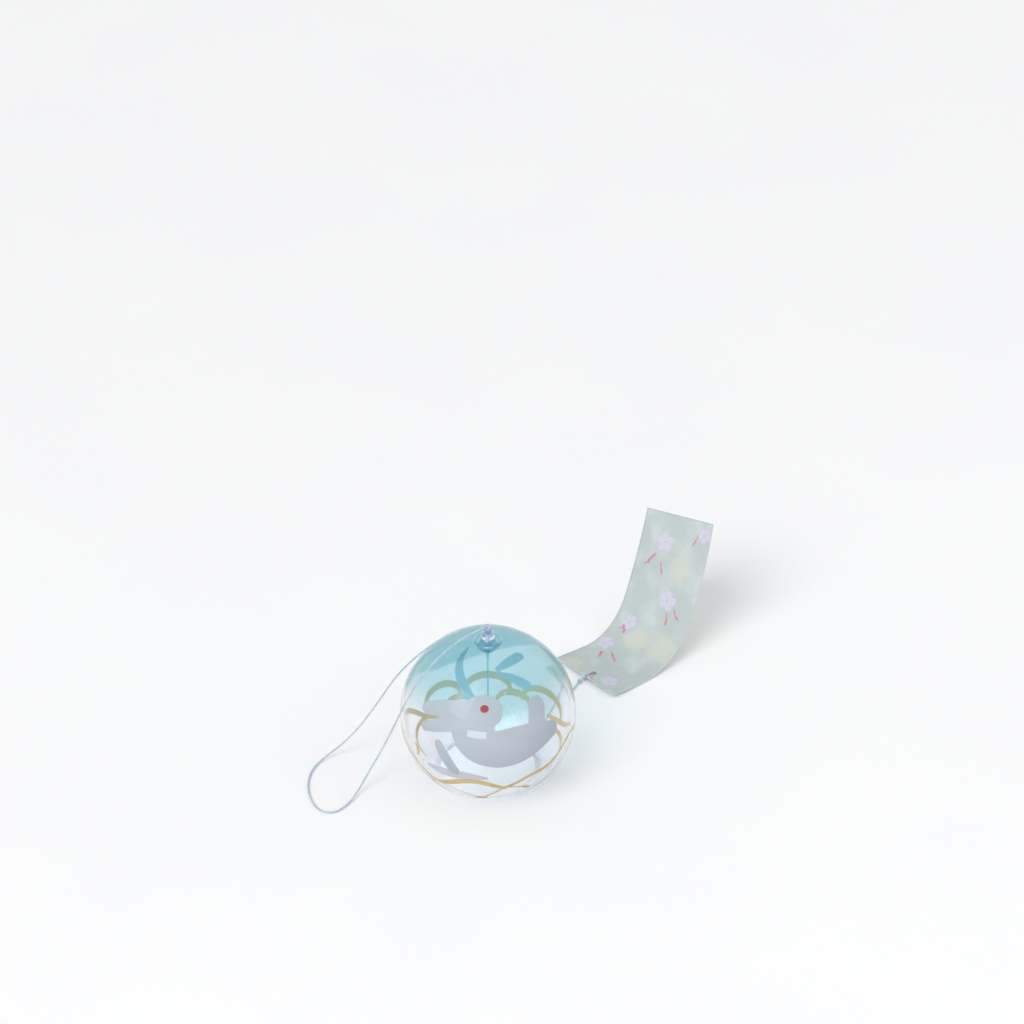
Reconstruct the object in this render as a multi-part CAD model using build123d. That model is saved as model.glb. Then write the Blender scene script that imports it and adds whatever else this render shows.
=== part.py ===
from build123d import *

import math
import os

# A glass wind bell standing on its mouth, with its clapper hanging inside, its hanging loop laid to the left,
# and its tail thread running out under the mouth edge to a curled paper strip.
# Millimetres. The origin is the centre of the mouth on the table, and +Z is the bell's axis.

os.makedirs("parts", exist_ok=True)

# Blown glass bell
bell_diameter = 80.0
mouth_diameter = 50.0
bell_wall = 1.8
lip_round = 0.35
inner_lip_round = 0.2
crown_hole_diameter = 3.6
collar_diameter = 12.0
collar_rise = 0.6
collar_round = 0.45

# Mouth edge, cut by hand: shallow dips in its outer part at shares of a turn, each rising outwards,
# and one right across it that the tail thread passes through
edge_dip_depth = 0.5
edge_dip_radius = 9.0
edge_dip_start_share = 0.45
edge_dip_turn_shares = (0.01, 0.22, 0.33, 0.45, 0.59, 0.74, 0.87)
edge_dip_depth_shares = (0.7, 1.0, 0.6, 0.9, 0.65, 1.0, 0.8)
tail_dip_angle = 42.0
tail_dip_radius = 3.2

# Thread
thread_diameter = 1.0
running_gap = 0.3
seat_gap = 0.05

# Beads at the crown
crown_bead_diameter = 6.2
bead_bore_diameter = 2.4
bead_bore_round = 0.3
inner_bead_diameter = 8.5
inner_bead_height = 3.2
inner_bead_round = 1.3

# Knots
crown_knot_width = 3.2
crown_knot_height = 2.6
stop_knot_width = 3.4
stop_knot_height = 2.5
swing_knot_diameter = 1.8
end_knot_width = 3.0
end_knot_height = 1.8
strip_knot_diameter = 2.4
knot_round_share = 0.42

# Clapper tube on its thread
clapper_reach = 49.7
tube_length = 25.0
tube_diameter = 6.5
tube_bore = 2.6
tube_end_round = 0.45
tube_seat_gap = 0.1
lead_length = 2.4

# Paper strip: its near end is propped on the tie, then it lies down, curls up and turns
strip_width = 40.0
strip_length = 100.0
strip_thickness = 0.4
strip_near_x = 45.4
strip_near_y = 68.1
strip_prop = 1.75
strip_heading = 41.0
strip_lie_length = 17.0
strip_curl_radius = 33.0
strip_curl_angle = 60.0
strip_turn_angle = 28.0
strip_roll_angle = 22.0
strip_roll_power = 1.5
strip_sections = 13
strip_hole_diameter = 3.2
strip_hole_inset = 5.0
tie_reach = 3.4

cut_overrun = 2.0

# Free thread routes, in order from one end to the other
loop_route = [
    (-1.6, 0.7, 78.7),
    (-6.5, 2.6, 77.0),
    (-14.5, 5.4, 72.2),
    (-23.9, 7.7, 64.8),
    (-33.6, 9.4, 54.6),
    (-41.8, 11.0, 43.5),
    (-47.6, 11.4, 33.2),
    (-53.4, 11.2, 23.4),
    (-60.0, 10.8, 13.6),
    (-67.4, 10.2, 5.2),
    (-75.2, 6.6, 0.9),
    (-80.4, -1.6, 0.55),
    (-82.4, -13.0, 0.55),
    (-80.8, -24.6, 0.55),
    (-76.6, -33.6, 0.55),
    (-69.4, -35.2, 0.55),
    (-62.8, -27.8, 0.6),
    (-58.2, -18.4, 2.4),
    (-53.4, -11.6, 8.2),
    (-48.2, -8.2, 16.4),
    (-44.2, -8.6, 26.0),
    (-40.6, -10.9, 36.2),
    (-36.8, -12.6, 47.1),
    (-31.2, -11.4, 56.9),
    (-24.1, -7.5, 64.6),
    (-15.2, -4.2, 72.2),
    (-6.6, -2.2, 77.0),
    (-1.6, -0.7, 78.7),
]
tail_route = [
    (0.0, 0.0, 8.0),
    (0.1, 0.1, 4.5),
    (2.9, 2.5, 1.2),
    (8.3, 7.3, 0.55),
    (14.2, 12.2, 0.55),
    (20.8, 19.2, 0.55),
    (27.0, 32.2, 0.55),
    (33.0, 46.2, 0.55),
    (38.7, 57.8, 0.55),
    (42.14, 64.54, 1.0),
]

# Sizes that follow from those
bell_radius = bell_diameter / 2
inner_radius = bell_radius - bell_wall
mouth_radius = mouth_diameter / 2
bell_centre = math.sqrt(bell_radius**2 - mouth_radius**2)
inner_mouth_radius = math.sqrt(inner_radius**2 - bell_centre**2)
edge_dip_start = inner_mouth_radius + edge_dip_start_share * (mouth_radius - inner_mouth_radius)
collar_top = bell_centre + bell_radius + collar_rise
thread_radius = thread_diameter / 2
hole_edge_radius = crown_hole_diameter / 2 + collar_round
crown_bead_radius = crown_bead_diameter / 2
crown_bead_centre = (
    collar_top
    - collar_round
    + math.sqrt((crown_bead_radius + collar_round + seat_gap) ** 2 - hole_edge_radius**2)
)
inner_bead_rim = inner_bead_diameter / 2 - inner_bead_round
inner_bead_top = (
    bell_centre
    + math.sqrt((inner_radius - inner_bead_round - seat_gap) ** 2 - inner_bead_rim**2)
    + inner_bead_round
)
inner_bead_bottom = inner_bead_top - inner_bead_height
crown_bead_top = crown_bead_centre + math.sqrt(
    crown_bead_radius**2 - (bead_bore_diameter / 2) ** 2
)
crown_knot_bottom = crown_bead_top + seat_gap
stop_knot_top = inner_bead_bottom - seat_gap
swing_height = stop_knot_top - stop_knot_height - running_gap - swing_knot_diameter / 2
tube_bottom = swing_height - clapper_reach
end_knot_top = tube_bottom - tube_seat_gap
end_knot_bottom = end_knot_top - end_knot_height
lie_and_curl = math.hypot(strip_lie_length, strip_curl_radius)
strip_slope = -(
    math.atan2(strip_curl_radius, strip_lie_length)
    + math.asin((strip_prop - strip_curl_radius) / lie_and_curl)
)
strip_ahead = Vector(
    math.cos(math.radians(strip_heading)), math.sin(math.radians(strip_heading)), 0
)
strip_near = Vector(
    strip_near_x, strip_near_y, strip_prop + seat_gap + strip_thickness / 2
)
strip_knot_place = Vector(
    strip_near_x - tie_reach * strip_ahead.X,
    strip_near_y - tie_reach * strip_ahead.Y,
    strip_knot_diameter / 2,
)


def ring_edges(part, radius, height, reach):
    """The round edges about the axis with this radius, near this height."""
    return [
        edge
        for edge in part.edges().filter_by(GeomType.CIRCLE)
        if abs(edge.radius - radius) < reach and abs(edge.center().Z - height) < reach
    ]


def glass_bell():
    """Blown globe with its collar and crown hole, open at a mouth that is cut by hand."""
    outer = Pos(0, 0, bell_centre) * Sphere(bell_radius)
    collar_height = collar_top - bell_centre
    collar = Pos(0, 0, bell_centre) * Cylinder(
        collar_diameter / 2, collar_height, align=(Align.CENTER, Align.CENTER, Align.MIN)
    )
    bell = outer + collar
    bell -= Pos(0, 0, bell_centre) * Sphere(inner_radius)
    bell -= Pos(0, 0, bell_centre) * Cylinder(
        crown_hole_diameter / 2,
        collar_height + cut_overrun,
        align=(Align.CENTER, Align.CENTER, Align.MIN),
    )
    bell = split(bell, bisect_by=Plane.XY, keep=Keep.TOP)
    near = collar_round / 3
    rounded = ring_edges(bell, collar_diameter / 2, collar_top, near)
    rounded += ring_edges(bell, crown_hole_diameter / 2, collar_top, near)
    bell = fillet(rounded, collar_round)
    bell = fillet(ring_edges(bell, mouth_radius, 0, near), lip_round)
    bell = fillet(ring_edges(bell, inner_mouth_radius, 0, near), inner_lip_round)
    for turn, depth in zip(edge_dip_turn_shares, edge_dip_depth_shares):
        bell -= edge_dip(360 * turn, edge_dip_depth * depth)
    return bell - tail_dip()


def edge_dip(angle, depth):
    """A round cutter whose top rises outwards from the land to this depth at the mouth's outer edge."""
    land = mouth_radius - edge_dip_start
    tilt = math.atan2(depth, land)
    cutter = Cylinder(
        edge_dip_radius, land + 2 * cut_overrun, align=(Align.CENTER, Align.CENTER, Align.MIN)
    )
    start = Pos(
        edge_dip_start + edge_dip_radius * math.sin(tilt), 0, -edge_dip_radius * math.cos(tilt)
    )
    outward = Rot(0, math.degrees(math.pi / 2 - tilt), 0)
    return Rot(0, 0, angle) * start * outward * cutter


def tail_dip():
    """A round cutter lying along a radius, that leaves the tail thread room under the mouth edge."""
    cutter = Cylinder(
        tail_dip_radius, mouth_radius + cut_overrun, align=(Align.CENTER, Align.CENTER, Align.MIN)
    )
    lowered = Pos(0, 0, thread_diameter + 2 * running_gap - tail_dip_radius)
    return Rot(0, 0, tail_dip_angle) * lowered * Rot(0, 90, 0) * cutter


def bore(bottom, top):
    """The thread's bore through a bead, cut past both of its ends."""
    return Pos(0, 0, bottom - cut_overrun) * Cylinder(
        bead_bore_diameter / 2,
        top - bottom + 2 * cut_overrun,
        align=(Align.CENTER, Align.CENTER, Align.MIN),
    )


def crown_bead():
    """Clear glass bead that sits in the rounded edge of the crown hole."""
    bead = Pos(0, 0, crown_bead_centre) * Sphere(crown_bead_radius)
    bead -= bore(crown_bead_centre - crown_bead_radius, crown_bead_centre + crown_bead_radius)
    bore_edges = bead.edges().filter_by(GeomType.CIRCLE).sort_by(Axis.Z)
    return fillet([bore_edges[0], bore_edges[-1]], bead_bore_round)


def rounded_disc(width, height, bottom, rounding):
    """A round lump with flat ends and rounded sides, on the axis."""
    disc = Pos(0, 0, bottom) * Cylinder(
        width / 2, height, align=(Align.CENTER, Align.CENTER, Align.MIN)
    )
    return fillet(disc.edges().filter_by(GeomType.CIRCLE), rounding)


def inner_bead():
    """Flat glass bead that stops the hole from inside."""
    bead = rounded_disc(
        inner_bead_diameter, inner_bead_height, inner_bead_bottom, inner_bead_round
    )
    bead -= bore(inner_bead_bottom, inner_bead_top)
    near = bead_bore_round / 3
    rims = ring_edges(bead, bead_bore_diameter / 2, inner_bead_top, near)
    rims += ring_edges(bead, bead_bore_diameter / 2, inner_bead_bottom, near)
    return fillet(rims, bead_bore_round)


def knot(width, height, bottom):
    """A pulled-tight knot, as a rounded lump on the axis."""
    return rounded_disc(width, height, bottom, knot_round_share * height)


def crown_knot():
    """Knot above the crown bead, with the doubled thread below it that runs through both beads."""
    lump = knot(crown_knot_width, crown_knot_height, crown_knot_bottom)
    doubled = Pos(0, 0, stop_knot_top) * Cylinder(
        thread_diameter - seat_gap,
        crown_knot_bottom + thread_radius - stop_knot_top,
        align=(Align.CENTER, Align.CENTER, Align.MIN),
    )
    return lump + doubled


def clapper_thread():
    """Straight thread from under the swing knot, through the tube, to the end knot."""
    top = swing_height - swing_knot_diameter / 2 - running_gap
    return Pos(0, 0, end_knot_top) * Cylinder(
        thread_radius, top - end_knot_top, align=(Align.CENTER, Align.CENTER, Align.MIN)
    )


def clapper_tube():
    """Glass tube with fire-rounded ends, loose on its thread."""
    tube = Pos(0, 0, tube_bottom) * Cylinder(
        tube_diameter / 2, tube_length, align=(Align.CENTER, Align.CENTER, Align.MIN)
    )
    tube -= Pos(0, 0, tube_bottom) * Cylinder(
        tube_bore / 2, tube_length, align=(Align.CENTER, Align.CENTER, Align.MIN)
    )
    return fillet(tube.edges().filter_by(GeomType.CIRCLE), tube_end_round)


def tail_lead():
    """The first straight stretch of the tail, under the end knot."""
    return Pos(0, 0, end_knot_bottom - lead_length) * Cylinder(
        thread_radius, lead_length, align=(Align.CENTER, Align.CENTER, Align.MIN)
    )


def corner_radii(route):
    """The largest arc that each corner of a route has room for."""
    radii = []
    for before, here, after in zip(route, route[1:], route[2:]):
        arriving = Vector(*here) - Vector(*before)
        leaving = Vector(*after) - Vector(*here)
        half_turn = math.radians(arriving.get_angle(leaving)) / 2
        radii.append(0.45 * min(arriving.length, leaving.length) / math.tan(half_turn))
    return radii


def thread_along(name, route):
    """A round thread along straight runs joined by tangent arcs."""
    radii = corner_radii(route)
    path = FilletPolyline(*route, radius=radii)
    section = Plane(origin=path @ 0, z_dir=path % 0) * Circle(thread_radius)
    tube = sweep(section, path=path)
    share = tube.volume / (math.pi * thread_radius**2 * path.length)
    print(name, "length", round(path.length, 1), "volume share", round(share, 4))
    print(name, "radii", [round(radius, 1) for radius in radii])
    return tube


def strip_planes():
    """Cross planes along the strip, which lies down, then curls up, turns and rolls a little."""
    planes = []
    step = strip_length / (strip_sections - 1)
    curl = math.radians(strip_curl_angle) - strip_slope
    curl_length = strip_curl_radius * curl
    place = strip_near
    for index in range(strip_sections):
        for run in (index * step - step / 2, index * step):
            past = max(run - strip_lie_length, 0)
            turned = past / (strip_length - strip_lie_length)
            pitch = strip_slope + curl * min(past / curl_length, 1)
            heading = math.radians(strip_heading + strip_turn_angle * turned)
            level = Vector(math.cos(heading), math.sin(heading), 0)
            ahead = level * math.cos(pitch) + Vector(0, 0, 1) * math.sin(pitch)
            if run < index * step and index > 0:
                place = place + ahead * step
        across = Vector(math.sin(heading), -math.cos(heading), 0)
        roll = strip_roll_angle * turned**strip_roll_power
        across = across.rotate(Axis((0, 0, 0), ahead), -roll)
        planes.append(Plane(origin=place, x_dir=across, z_dir=ahead))
    return planes


def paper_strip():
    """Stiff paper strip with a punched hole near its tied end."""
    sections = [plane * Rectangle(strip_width, strip_thickness) for plane in strip_planes()]
    strip = loft(sections)
    hole_place = strip_near + strip_ahead * strip_hole_inset
    hole = Pos(hole_place.X, hole_place.Y, 0) * Cylinder(
        strip_hole_diameter / 2, strip_prop + strip_thickness + cut_overrun
    )
    return strip - hole


def strip_tie():
    """Ring of thread from the strip knot, over and under the strip's end, through its hole."""
    low = thread_radius
    high = strip_prop + strip_thickness + 2 * seat_gap + thread_radius
    near_end = strip_knot_diameter / 2 + running_gap + thread_radius
    far_end = tie_reach + strip_hole_inset
    middle = strip_knot_place + strip_ahead * ((near_end + far_end) / 2)
    across = Vector(strip_ahead.Y, -strip_ahead.X, 0)
    upright = Plane(
        origin=(middle.X, middle.Y, (low + high) / 2), x_dir=strip_ahead, z_dir=across
    )
    slot = upright * SlotOverall(far_end - near_end, high - low)
    path = slot.wire()
    section = Plane(origin=path @ 0, z_dir=path % 0) * Circle(thread_radius)
    return sweep(section, path=path)


pieces = {
    "glass_bell": glass_bell(),
    "crown_bead": crown_bead(),
    "inner_bead": inner_bead(),
    "crown_knot": crown_knot(),
    "hanging_loop": thread_along("hanging_loop", loop_route),
    "stop_knot": knot(stop_knot_width, stop_knot_height, stop_knot_top - stop_knot_height),
    "swing_knot": Pos(0, 0, swing_height) * Sphere(swing_knot_diameter / 2),
    "clapper_thread": clapper_thread(),
    "clapper_tube": clapper_tube(),
    "end_knot": knot(end_knot_width, end_knot_height, end_knot_bottom),
    "tail_lead": tail_lead(),
    "tail_cord": thread_along("tail_cord", tail_route),
    "strip_knot": Pos(*strip_knot_place) * Sphere(strip_knot_diameter / 2),
    "strip_tie": strip_tie(),
    "paper_strip": paper_strip(),
}
for name, piece in pieces.items():
    export_step(piece, f"parts/{name}.step")
print("swing height", round(swing_height, 3), "tube bottom", round(tube_bottom, 3))
print("lead ends at", round(end_knot_bottom - lead_length, 3))
print("strip knot at", [round(value, 3) for value in strip_knot_place])
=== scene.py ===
import bmesh
import bpy
import math
from mathutils import Matrix, Vector


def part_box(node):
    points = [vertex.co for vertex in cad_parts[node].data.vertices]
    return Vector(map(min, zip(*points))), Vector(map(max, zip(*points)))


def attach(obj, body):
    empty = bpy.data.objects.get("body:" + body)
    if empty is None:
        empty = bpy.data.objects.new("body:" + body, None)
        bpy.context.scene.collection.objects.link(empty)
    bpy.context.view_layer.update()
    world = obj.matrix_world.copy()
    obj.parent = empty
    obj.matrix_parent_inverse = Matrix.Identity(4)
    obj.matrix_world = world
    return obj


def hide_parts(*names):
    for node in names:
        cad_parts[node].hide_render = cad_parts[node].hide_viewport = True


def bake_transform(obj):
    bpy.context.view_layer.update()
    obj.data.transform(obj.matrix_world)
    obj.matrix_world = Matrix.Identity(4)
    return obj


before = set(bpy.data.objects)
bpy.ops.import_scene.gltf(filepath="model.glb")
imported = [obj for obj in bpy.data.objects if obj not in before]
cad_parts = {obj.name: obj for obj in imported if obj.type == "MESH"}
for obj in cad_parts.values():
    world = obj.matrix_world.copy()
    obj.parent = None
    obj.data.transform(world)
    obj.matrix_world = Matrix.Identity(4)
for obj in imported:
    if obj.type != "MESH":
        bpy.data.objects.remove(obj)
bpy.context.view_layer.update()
print("frame loaded with", len(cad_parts), "nodes")

mm = 0.001


def linear(*colour):
    # red, green and blue as they look on screen, made linear for the shaders
    parts = [c / 255 for c in colour]
    return tuple(c / 12.92 if c < 0.04045 else ((c + 0.055) / 1.055) ** 2.4 for c in parts) + (1.0,)


class Value:
    # wraps a socket, so that an expression on values adds its Math nodes
    def __init__(self, finish, socket):
        self.finish, self.socket = finish, socket

    def math(self, operation, first, second=0.0):
        return self.finish.add("ShaderNodeMath", {"operation": operation}, {0: first, 1: second})

    def __add__(self, other):
        return self.math("ADD", self, other)

    def __sub__(self, other):
        return self.math("SUBTRACT", self, other)

    def __rsub__(self, other):
        return self.math("SUBTRACT", other, self)

    def __mul__(self, other):
        return self.math("MULTIPLY", self, other)

    def __truediv__(self, other):
        return self.math("DIVIDE", self, other)

    def __abs__(self):
        return self.math("ABSOLUTE", self)

    __radd__ = __add__
    __rmul__ = __mul__

    def root(self):
        return self.math("SQRT", self)

    def sine(self):
        return self.math("SINE", self)

    def highest(self, other):
        return self.math("MAXIMUM", self, other)

    def lowest(self, other):
        return self.math("MINIMUM", self, other)

    def angle(self, other):
        # of the direction that rises by this and runs by the other
        return self.math("ARCTAN2", self, other)

    def distance(self, other):
        # over this and the other at right angles
        return (self * self + other * other).root()

    def ramp(self, low, high):
        # 0 at low, 1 at high, smooth between
        return self.finish.add(
            "ShaderNodeMapRange",
            {"interpolation_type": "SMOOTHSTEP"},
            {"Value": self, "From Min": low, "From Max": high},
        )


class Finish:
    # the nodes of one material or of the world, with a single method that adds any of them
    def __init__(self, owner):
        self.owner = owner
        owner.use_nodes = True
        self.tree = owner.node_tree
        self.tree.nodes.clear()

    def add(self, kind, settings=None, sockets=None, output=0):
        node = self.tree.nodes.new(kind)
        for name, value in (settings or {}).items():
            if name == "stops":
                for stop, (place, colour) in zip(node.color_ramp.elements, value):
                    stop.position, stop.color = place, colour
                for place, colour in value[2:]:
                    node.color_ramp.elements.new(place).color = colour
            else:
                setattr(node, name, value)
        for name, value in (sockets or {}).items():
            if isinstance(value, Value):
                self.tree.links.new(value.socket, node.inputs[name])
            else:
                node.inputs[name].default_value = value
        return Value(self, node.outputs[output]) if len(node.outputs) else None

    def place(self):
        return self.add("ShaderNodeTexCoord", output="Object")

    def axis(self, vector, name):
        return self.add("ShaderNodeSeparateXYZ", {}, {0: vector}, output=name)

    def noise(self, scale, detail=2.0, vector=None, stretch=None):
        vector = vector or self.place()
        if stretch:
            vector = self.add("ShaderNodeMapping", {}, {"Vector": vector, "Scale": stretch})
        return self.add("ShaderNodeTexNoise", {}, {"Vector": vector, "Scale": scale, "Detail": detail})

    def mix(self, share, first, second):
        return self.add("ShaderNodeMix", {"data_type": "RGBA"}, {0: share, 6: first, 7: second}, output=2)

    def bump(self, height, strength, distance):
        return self.add(
            "ShaderNodeBump", {}, {"Height": height, "Strength": strength, "Distance": distance}
        )

    def blend(self, share, first, second):
        # two shaders as one
        return self.add("ShaderNodeMixShader", {}, {0: share, 1: first, 2: second})

    def clear(self, colour):
        return self.add("ShaderNodeBsdfTransparent", {}, {"Color": colour})

    def letLampsThrough(self, shader, colour):
        # lamps shine through the shader with this colour, so that what is inside stays bright
        shadowRay = self.add("ShaderNodeLightPath", output="Is Shadow Ray")
        return self.blend(shadowRay, shader, self.clear(colour))

    def surface(self, sockets):
        return self.add("ShaderNodeBsdfPrincipled", {}, sockets)

    def end(self, shader, kind="ShaderNodeOutputMaterial"):
        self.add(kind, {}, {"Surface": shader})
        return self.owner


def newFinish(name):
    return Finish(bpy.data.materials.new(name))


def newObject(name, data, *materials):
    piece = bpy.data.objects.new(name, data)
    bpy.context.scene.collection.objects.link(piece)
    for material in materials:
        data.materials.append(material)
    return piece


def meshOf(shape, name, smooth=True):
    # a modelled shape as a mesh of its own
    for face in shape.faces:
        face.smooth = smooth
    mesh = bpy.data.meshes.new(name)
    shape.to_mesh(mesh)
    shape.free()
    return mesh


# Thread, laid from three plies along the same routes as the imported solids

thread = {
    "radius": 0.45 * mm,
    "lay": 3.2 * mm,
    "plies": 3,
    # how many times a ply's radius the laid thread's is
    "packing": 2.155,
    "plyRoundness": 1,
    "plySteps": 12,
    "routeSteps": 24,
    "colour": linear(198, 214, 224),
    "shade": linear(166, 188, 204),
    "patchScale": 60.0,
    "fibreScale": 900.0,
    "fibreStretch": (1.0, 1.0, 0.35),
    "fibreBump": 0.35,
    "fibreHeight": 0.15 * mm,
}
loopRoute = [
    (-0.0016, 0.0007, 0.0787), (-0.0065, 0.0026, 0.0770), (-0.0145, 0.0054, 0.0722),
    (-0.0239, 0.0077, 0.0648), (-0.0336, 0.0094, 0.0546), (-0.0418, 0.0110, 0.0435),
    (-0.0476, 0.0114, 0.0332), (-0.0534, 0.0112, 0.0234), (-0.0600, 0.0108, 0.0136),
    (-0.0674, 0.0102, 0.0052), (-0.0752, 0.0066, 0.0009), (-0.0804, -0.0016, 0.00055),
    (-0.0824, -0.0130, 0.00055), (-0.0808, -0.0246, 0.00055), (-0.0766, -0.0336, 0.00055),
    (-0.0694, -0.0352, 0.00055), (-0.0628, -0.0278, 0.0006), (-0.0582, -0.0184, 0.0024),
    (-0.0534, -0.0116, 0.0082), (-0.0482, -0.0082, 0.0164), (-0.0442, -0.0086, 0.0260),
    (-0.0406, -0.0109, 0.0362), (-0.0368, -0.0126, 0.0471), (-0.0312, -0.0114, 0.0569),
    (-0.0241, -0.0075, 0.0646), (-0.0152, -0.0042, 0.0722), (-0.0066, -0.0022, 0.0770),
    (-0.0016, -0.0007, 0.0787),
]
tailRoute = [
    (0.0, 0.0, 0.0080), (0.0001, 0.0001, 0.0045), (0.0029, 0.0025, 0.0012), (0.0083, 0.0073, 0.00055),
    (0.0142, 0.0122, 0.00055), (0.0208, 0.0192, 0.00055), (0.0270, 0.0322, 0.00055),
    (0.0330, 0.0462, 0.00055), (0.0387, 0.0578, 0.00055), (0.04214, 0.06454, 0.0010),
]


def newCurve(name, depth=0.0, roundness=0, steps=12):
    # a curve in space, with a round section where it has a depth
    curve = bpy.data.curves.new(name, "CURVE")
    curve.dimensions = "3D"
    curve.resolution_u = steps
    curve.bevel_depth = depth
    curve.bevel_resolution = roundness
    curve.use_fill_caps = True
    return curve


def addLine(curve, kind, places, radii=None):
    spline = curve.splines.new(kind)
    spline.points.add(len(places) - 1)
    for index, place in enumerate(places):
        spline.points[index].co = (*place, 1.0)
        if radii:
            spline.points[index].radius = radii[index]
    if kind == "NURBS":
        spline.order_u = 3
        spline.use_endpoint_u = True


def asMesh(source, name):
    # what a curve or a piece with modifiers comes to, as a mesh of its own
    bpy.context.view_layer.update()
    evaluated = source.evaluated_get(bpy.context.evaluated_depsgraph_get())
    mesh = bpy.data.meshes.new_from_object(evaluated)
    mesh.name = name
    bpy.data.objects.remove(source)
    return mesh


def smoothLine(points):
    # points along a smooth line that has these as its control points
    curve = newCurve("line", steps=thread["routeSteps"])
    addLine(curve, "NURBS", points)
    mesh = asMesh(newObject("line", curve), "line")
    line = [vertex.co.copy() for vertex in mesh.vertices]
    bpy.data.meshes.remove(mesh)
    return line


def evenly(line, spacing):
    # the same line with its points a steady distance apart
    lengths = [0.0]
    for here, after in zip(line, line[1:]):
        lengths.append(lengths[-1] + (after - here).length)
    count = max(2, round(lengths[-1] / spacing))
    spaced, index = [], 0
    for step in range(count + 1):
        run = lengths[-1] * step / count
        while index < len(line) - 2 and lengths[index + 1] < run:
            index += 1
        span = lengths[index + 1] - lengths[index]
        spaced.append(line[index].lerp(line[index + 1], (run - lengths[index]) / span))
    return spaced


def crossFrames(line):
    # a sideways direction at each point, carried along without twist
    tangents = []
    for index in range(len(line)):
        before, after = line[max(index - 1, 0)], line[min(index + 1, len(line) - 1)]
        tangents.append((after - before).normalized())
    side = tangents[0].orthogonal().normalized()
    frames = []
    for tangent in tangents:
        side = (side - tangent * side.dot(tangent)).normalized()
        frames.append((side, tangent.cross(side)))
    return frames


def laidThread(name, line, radius=thread["radius"]):
    # plies wound round the line, each a round tube
    plyRadius = radius / thread["packing"]
    lay = thread["lay"] * radius / thread["radius"]
    spaced = evenly(line, lay / thread["plySteps"])
    frames = crossFrames(spaced)
    curve = newCurve(name, plyRadius, thread["plyRoundness"])
    for ply in range(thread["plies"]):
        places = []
        for index, (place, (side, other)) in enumerate(zip(spaced, frames)):
            turn = 2 * math.pi * (ply / thread["plies"] + index / thread["plySteps"])
            around = side * math.cos(turn) + other * math.sin(turn)
            places.append(place + around * (radius - plyRadius))
        addLine(curve, "POLY", places)
    mesh = asMesh(newObject(name, curve), name)
    for polygon in mesh.polygons:
        polygon.use_smooth = True
    return newObject(name, mesh, threadMaterial)


def joined(name, pieces):
    # several finished threads as one piece
    shape = bmesh.new()
    for piece in pieces:
        shape.from_mesh(piece.data)
        bpy.data.objects.remove(piece)
    return newObject(name, meshOf(shape, name), threadMaterial)


def threadFinish():
    finish = newFinish("thread")
    fibres = finish.noise(thread["fibreScale"], 3.0, stretch=thread["fibreStretch"])
    patches = finish.noise(thread["patchScale"])
    tone = (fibres * 0.7 + patches * 0.3).ramp(0.3, 0.7)
    shader = finish.surface({
        "Base Color": finish.mix(tone, thread["shade"], thread["colour"]),
        "Roughness": 0.85 - 0.2 * fibres,
        "Sheen Weight": 0.25,
        "Normal": finish.bump(fibres, thread["fibreBump"], thread["fibreHeight"]),
    })
    return finish.end(shader)


threadMaterial = threadFinish()

loopLine = smoothLine(loopRoute)
hangingLoop = laidThread("hangingLoop", loopLine)
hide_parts("hanging_loop")
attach(hangingLoop, "bell")
2 * thread["radius"]

tailLine = smoothLine(tailRoute)
tailThread = laidThread("tailThread", tailLine)
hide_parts("tail_cord")
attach(tailThread, "bell")
print("free threads made")


# Knots, and the threads that hang inside the bell

knot = {
    # how far a knot's turns sway in and out, as a share of its reach
    "sway": 0.38,
    "steps": 90,
    "crownWidth": 3.2 * mm,
    "crownHeight": 2.6 * mm,
    "crownStrandRadius": 0.47 * mm,
    # node, body, axis and thread radius of each other knot
    "others": (
        ("stop_knot", "bell", (0, 0, 1), 0.5 * mm),
        ("swing_knot", "hanger", (0, 1, 0), 0.34 * mm),
        ("end_knot", "clapper", (0, 0, 1), 0.42 * mm),
        ("strip_knot", "tie", (0.656, -0.755, 0), 0.45 * mm),
    ),
    "leadOverlap": 0.3 * mm,
}


def tiedKnot(name, heart, axis, width, height, threadRadius=thread["radius"]):
    # an overhand knot pulled tight: the thread runs three times over and under
    axis = Vector(axis).normalized()
    side = axis.orthogonal().normalized()
    other = axis.cross(side)
    reach = width / 2 - threadRadius
    sway = knot["sway"] * reach
    rise = max(height / 2 - threadRadius, 0.0)
    line = []
    for step in range(knot["steps"] + 1):
        turn = 2 * math.pi * step / knot["steps"]
        out = reach - sway + sway * math.cos(3 * turn)
        line.append(
            heart
            + side * out * math.cos(2 * turn)
            + other * out * math.sin(2 * turn)
            + axis * rise * math.sin(3 * turn)
        )
    return laidThread(name, line, threadRadius)


def straightThread(name, start, end, radius=thread["radius"]):
    line = [Vector(start).lerp(Vector(end), step / 4) for step in range(5)]
    return laidThread(name, line, radius)


# The crown knot has a doubled thread that runs down through both beads
low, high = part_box("crown_knot")
heart = Vector((0, 0, high.z - knot["crownHeight"] / 2))
strandRadius = knot["crownStrandRadius"]
strands = [
    straightThread("strand", (shift, 0, low.z), (shift, 0, heart.z), strandRadius)
    for shift in (-strandRadius, strandRadius)
]
lump = tiedKnot("lump", heart, (0, 0, 1), knot["crownWidth"], knot["crownHeight"])
crownKnot = joined("crownKnot", [lump, *strands])
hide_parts("crown_knot")
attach(crownKnot, "bell")

for node, body, axis, strandRadius in knot["others"]:
    low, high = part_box(node)
    size = high - low
    width = max(size.x, size.y) if axis[2] else min(size)
    piece = tiedKnot(node.replace("_k", "K"), (low + high) / 2, axis, width, size.z, strandRadius)
    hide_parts(node)
    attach(piece, body)

low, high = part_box("clapper_thread")
clapperThread = straightThread("clapperThread", (0, 0, low.z), (0, 0, high.z))
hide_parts("clapper_thread")
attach(clapperThread, "clapper")

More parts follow.
